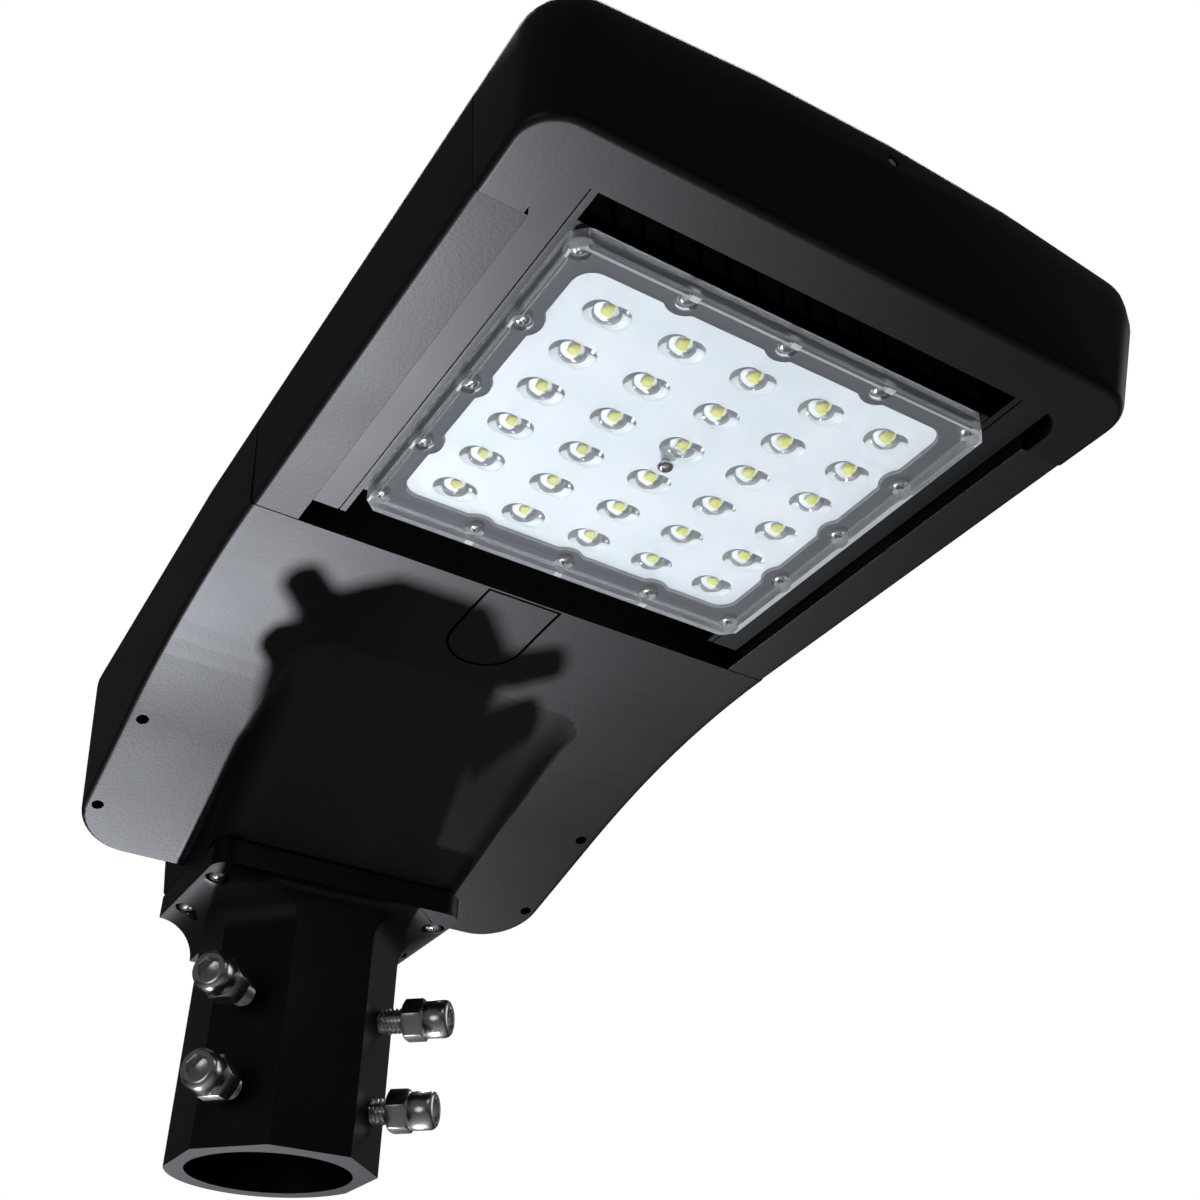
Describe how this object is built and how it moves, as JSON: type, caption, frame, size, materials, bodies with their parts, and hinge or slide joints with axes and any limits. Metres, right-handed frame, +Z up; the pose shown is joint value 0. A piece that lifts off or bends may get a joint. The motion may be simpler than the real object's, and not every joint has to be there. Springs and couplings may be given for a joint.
{
  "type": "shoebox area light",
  "caption": "Pole-mounted area light: flat housing with finned heat sink, lens panel underneath, hinged gear cover with push latch, and a vertical slip fitter with clamp bolts.",
  "frame": {"origin": "centre of the slip fitter's mouth, on the tenon's axis", "axes": "+Z up along the tenon, the light reaches forward along -Y, X across the housing"},
  "size_m": [0.2016, 0.4105, 0.1936],
  "materials": {
    "cast_black": "satin black powder coat on die-cast aluminium",
    "cast_fine_texture": "fine sand-textured black powder coat on die-cast aluminium",
    "cast_nose": "smooth satin black paint on die-cast aluminium",
    "extrusion": "dark anodised extruded aluminium",
    "bright_steel": "bright zinc-plated steel",
    "spring_steel": "spring steel",
    "gasket": "moulded rubber",
    "lens_gasket": "grey silicone",
    "board": "white solder mask",
    "phosphor": "yellow phosphor",
    "clear_lens": "clear moulded plastic",
    "tray_steel": "galvanised sheet",
    "driver_case": "white painted case",
    "surge_case": "blue plastic",
    "block_case": "ivory plastic",
    "ground_green": "green passivated steel",
    "lead_red": "insulated lead",
    "grommet": "black rubber",
    "vent": "black plastic"
  },
  "bodies": {
    "housing": {"slip_fitter": "cast_black", "fitter_gasket": "gasket", "fitter_screws": "bright_steel", "rear_housing": "cast_fine_texture", "cover_gasket": "gasket", "hinge_pins": "bright_steel", "side_housing": "cast_fine_texture", "nose_frame": "cast_nose", "nose_screw": "bright_steel", "nose_joint_screws": "bright_steel", "rear_joint_screws": "bright_steel", "heat_sink": "extrusion", "heat_sink_screws": "bright_steel", "led_board": "board", "led_chips": "phosphor", "lens_panel": "clear_lens", "lens_gasket": "lens_gasket", "lens_screws": "bright_steel", "centre_screw": "bright_steel", "gear_tray": "tray_steel", "tray_screws": "bright_steel", "driver": "driver_case", "driver_screws": "bright_steel", "surge_protector": "surge_case", "surge_screws": "bright_steel", "terminal_block": "block_case", "terminal_screws": "bright_steel", "ground_screw": "ground_green", "driver_leads": "lead_red", "module_leads": "lead_red", "lead_grommet": "grommet", "neck_grommet": "grommet", "breather_vent": "vent", "latch_pin": "bright_steel", "latch_spring": "spring_steel"},
    "gear_cover": {"gear_cover": "cast_fine_texture", "latch_keeper": "spring_steel", "keeper_screws": "bright_steel"},
    "latch": {"latch_lever": "cast_black"},
    "bolt_low_left": {"clamp_bolt_low_left": "bright_steel", "lock_nut_low_left": "bright_steel"},
    "bolt_low_right": {"clamp_bolt_low_right": "bright_steel", "lock_nut_low_right": "bright_steel"},
    "bolt_high_left": {"clamp_bolt_high_left": "bright_steel", "lock_nut_high_left": "bright_steel"},
    "bolt_high_right": {"clamp_bolt_high_right": "bright_steel", "lock_nut_high_right": "bright_steel"}
  },
  "joints": [
    {"name": "cover_hinge", "type": "hinge", "parent": "housing", "child": "gear_cover", "pos_m": [0, 0.0175, 0.1741], "axis": [-1, 0, 0], "range_deg": [0, 75], "deforming": ["latch_keeper"]},
    {"name": "latch_press", "type": "hinge", "parent": "housing", "child": "latch", "pos_m": [0, -0.145, 0.158], "axis": [-1, 0, 0], "range_deg": [0, 12], "stiffness_Nm_per_rad": 0.1, "springref_deg": -14.32},
    {"name": "bolt_low_left_slide", "type": "slide", "parent": "housing", "child": "bolt_low_left", "axis": [0.7314, 0.682, 0], "range_m": [-0.004, 0.0065]},
    {"name": "bolt_low_right_slide", "type": "slide", "parent": "housing", "child": "bolt_low_right", "axis": [-0.7314, 0.682, 0], "range_m": [-0.004, 0.0065]},
    {"name": "bolt_high_left_slide", "type": "slide", "parent": "housing", "child": "bolt_high_left", "axis": [0.7314, 0.682, 0], "range_m": [-0.0015, 0.0095]},
    {"name": "bolt_high_right_slide", "type": "slide", "parent": "housing", "child": "bolt_high_right", "axis": [-0.7314, 0.682, 0], "range_m": [-0.0015, 0.0095]}
  ]
}
